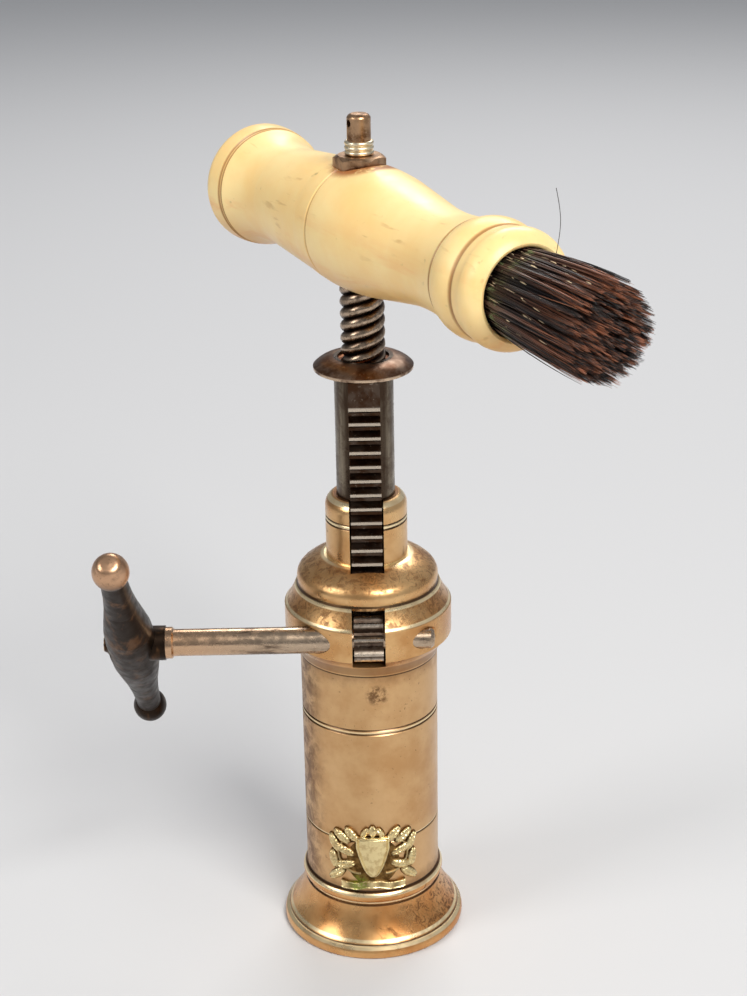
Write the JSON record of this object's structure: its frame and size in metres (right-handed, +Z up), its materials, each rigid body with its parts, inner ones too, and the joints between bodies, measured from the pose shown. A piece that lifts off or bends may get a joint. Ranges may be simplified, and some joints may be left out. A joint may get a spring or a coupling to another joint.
{
  "type": "rack and pinion corkscrew",
  "caption": "Antique corkscrew with a brass barrel on a bell foot, a toothed rack raised by a T side handle, and a turned bone handle with a dusting brush.",
  "frame": {"origin": "on the barrel's axis, in the plane of the foot's underside", "axes": "+Z up along the barrel and spindle; -Y towards the rack and its window; -X along the side rod to its grip"},
  "size_m": [0.1043, 0.1255, 0.1854],
  "materials": {
    "barrel_brass": "old lacquered brass, browned at the edges",
    "foot_brass": "old brass with dark mottling",
    "housing_brass": "polished old brass with brown patina",
    "plate_brass": "cast brass with dark hollows and a trace of verdigris",
    "tube_steel": "browned steel",
    "rack_steel": "dark steel, bright on the tooth crests",
    "flange_steel": "dark brown steel",
    "nut_bronze": "dull bronze",
    "side_rod_steel": "copper-brown worn steel",
    "grip_steel": "near-black steel worn to copper brown on the knobs",
    "spindle_steel": "worn steel with bright thread crests",
    "worm_steel": "plain steel",
    "finial_steel": "worn steel",
    "finial_nickel": "pale plated metal",
    "bone": "polished yellowed bone with brown grooves and fine pores",
    "plug_wood": "dark wood",
    "brush_bristle": "black-brown bristle"
  },
  "bodies": {
    "barrel": {"barrel_tube": "barrel_brass", "base_foot": "foot_brass", "pinion_housing": "housing_brass", "shoulder_cap": "housing_brass", "guide_neck": "housing_brass", "shield_plate": "plate_brass", "plate_pins": "plate_brass"},
    "rack": {"rack_tube": "tube_steel", "rack_bar": "rack_steel", "rack_rivets": "rack_steel", "rack_flange": "flange_steel", "nut_bush": "nut_bronze", "stop_ring": "nut_bronze"},
    "pinion": {"pinion_gear": "rack_steel", "pinion_shaft": "side_rod_steel", "gear_pin": "rack_steel", "side_grip": "grip_steel", "grip_rivet": "grip_steel"},
    "worm_guide": {"guide_bush": "nut_bronze", "guide_key": "rack_steel"},
    "spindle": {"spindle": "spindle_steel", "worm": "worm_steel", "retaining_collar": "worm_steel", "worm_pin": "worm_steel", "bone_handle": "bone", "hex_nut": "finial_steel", "ring_nut": "finial_nickel", "finial_post": "finial_steel", "brush_plug": "plug_wood", "brush_hair": "brush_bristle"}
  },
  "joints": [
    {"name": "rack_slide", "type": "slide", "parent": "barrel", "child": "rack", "axis": [0, 0, 1], "range_m": [-0.0255, 0.028]},
    {"name": "side_handle_turn", "type": "hinge", "parent": "barrel", "child": "pinion", "pos_m": [0, -0.0132, 0.0764], "axis": [1, 0, 0], "range_deg": [-370, 405]},
    {"name": "spindle_travel", "type": "slide", "parent": "rack", "child": "worm_guide", "axis": [0, 0, 1], "range_m": [-0.013, 0.034]},
    {"name": "spindle_turn", "type": "hinge", "parent": "worm_guide", "child": "spindle", "pos_m": [0, 0, 0.07], "axis": [0, 0, 1], "range_deg": [-610, 1580]}
  ],
  "couplings": [
    {"joint": "side_handle_turn", "follows": "rack_slide", "rad_per_m": 250},
    {"joint": "spindle_turn", "follows": "spindle_travel", "rad_per_m": 805.54}
  ]
}
